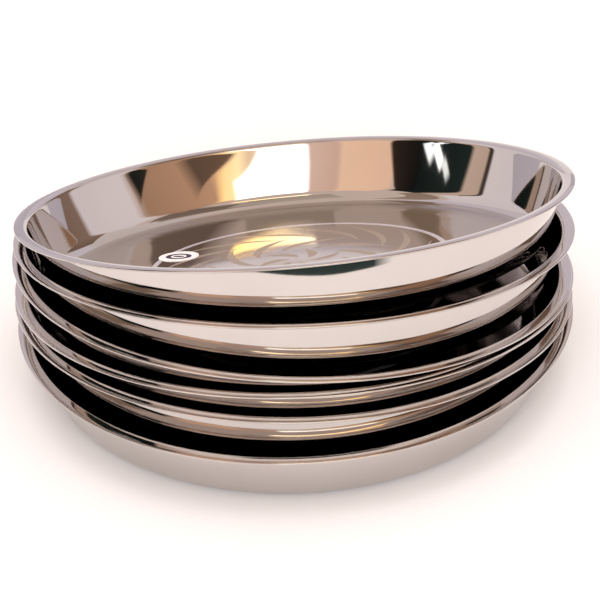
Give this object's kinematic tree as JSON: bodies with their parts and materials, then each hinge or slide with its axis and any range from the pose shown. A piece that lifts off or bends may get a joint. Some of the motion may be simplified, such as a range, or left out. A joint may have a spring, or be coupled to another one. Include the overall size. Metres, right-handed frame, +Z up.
{
  "type": "nested thali plate stack",
  "caption": "Stack of round stainless steel thali plates with bowed walls and flat, hemmed lips, nested loosely so that each one lifts off the plate below.",
  "frame": {"origin": "on the surface that the stack stands on, under the middle of the bottom plate", "axes": "+Z up out of the dishes, -Y towards the side where the upper plates are tipped up"},
  "size_m": [0.3019, 0.3004, 0.144],
  "materials": {
    "steel": "mirror-polished stainless steel",
    "label": "white coated sticker"
  },
  "bodies": {
    "bottom_plate": {"plate_1": "steel", "label_1": "label"},
    "second_plate": {"plate_2": "steel", "label_2": "label"},
    "third_plate": {"plate_3": "steel", "label_3": "label"},
    "fourth_plate": {"plate_4": "steel", "label_4": "label"},
    "fifth_plate": {"plate_5": "steel", "label_5": "label"},
    "top_plate": {"plate_6": "steel", "label_6": "label"}
  },
  "joints": [
    {"name": "lift_2", "type": "slide", "parent": "bottom_plate", "child": "second_plate", "axis": [0, 0, 1], "range_m": [0, 0.08]},
    {"name": "lift_3", "type": "slide", "parent": "second_plate", "child": "third_plate", "axis": [0, 0, 1], "range_m": [0, 0.08]},
    {"name": "lift_4", "type": "slide", "parent": "third_plate", "child": "fourth_plate", "axis": [0, 0, 1], "range_m": [0, 0.08]},
    {"name": "lift_5", "type": "slide", "parent": "fourth_plate", "child": "fifth_plate", "axis": [0, 0, 1], "range_m": [0, 0.08]},
    {"name": "lift_6", "type": "slide", "parent": "fifth_plate", "child": "top_plate", "axis": [0, 0, 1], "range_m": [0, 0.08]}
  ]
}
